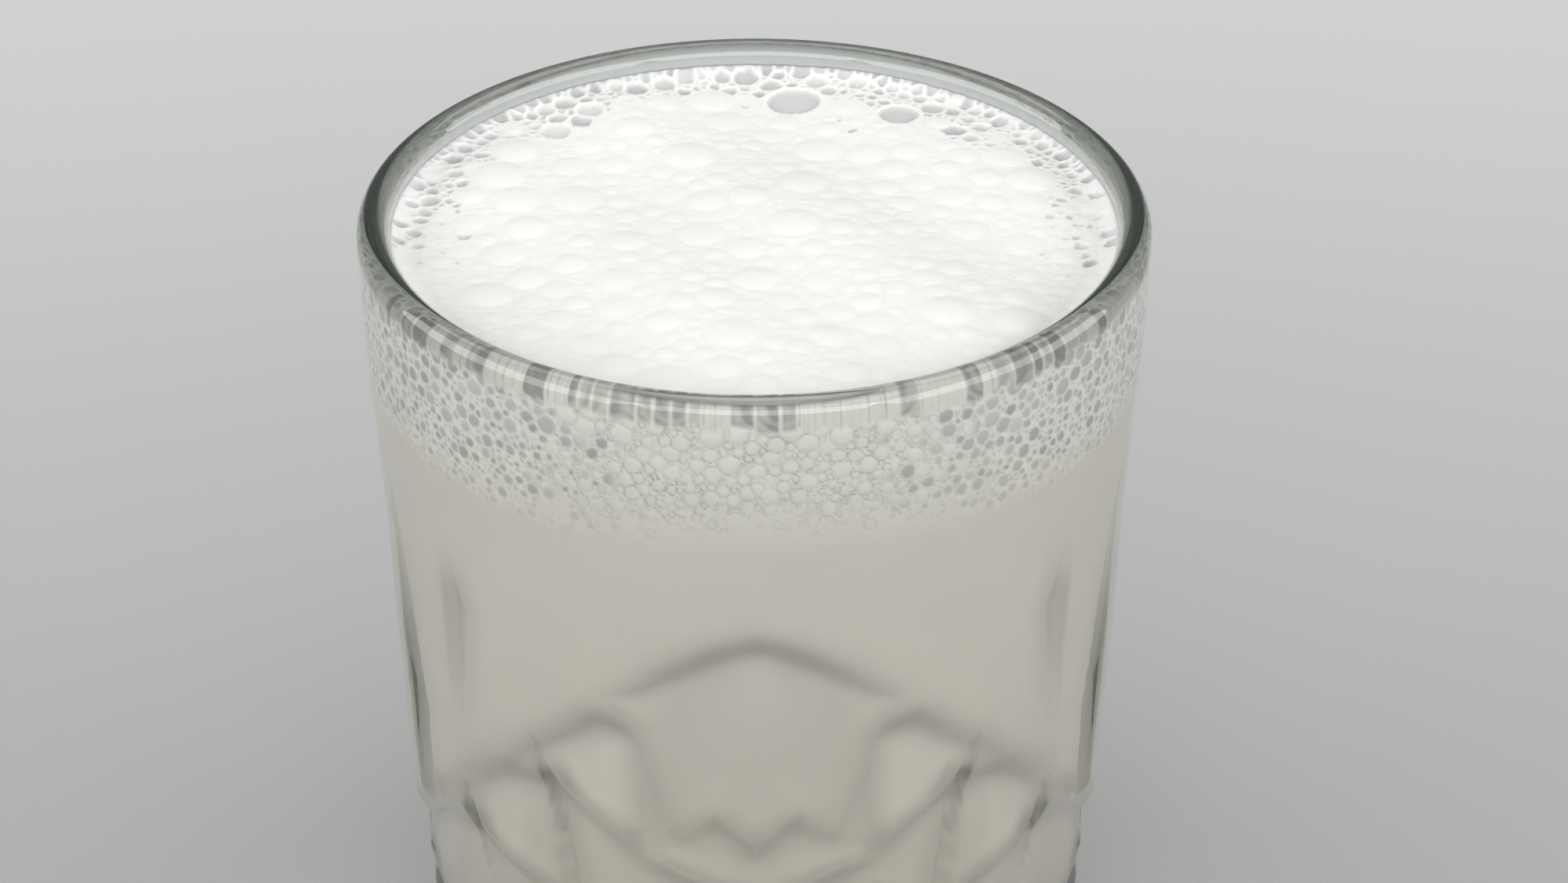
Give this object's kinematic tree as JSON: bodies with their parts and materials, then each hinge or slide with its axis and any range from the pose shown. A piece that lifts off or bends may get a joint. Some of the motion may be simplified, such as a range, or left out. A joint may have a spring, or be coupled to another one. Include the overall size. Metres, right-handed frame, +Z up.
{
  "type": "glass of lassi",
  "caption": "Thick greenish pressed-glass tumbler with an arched facet pattern, filled almost to its rounded lip with a pale yogurt drink under a layer of bubbly froth.",
  "frame": {"origin": "middle of the base, on the plane that the glass stands on", "axes": "+Z up along the glass's axis, -Y towards the front of the pattern, +X to the right seen from the front"},
  "size_m": [0.082, 0.082, 0.098],
  "materials": {
    "glass": "clear thick glass with a grey-green tint, polished lip and soft pressed facets",
    "lassi": "opaque off-white liquid, faintly warm, glossy where wet",
    "froth": "white froth of open and closed bubbles, wet bubble skins"
  },
  "bodies": {
    "root": {"glass": "glass", "lassi": "lassi", "froth": "froth"}
  },
  "joints": []
}
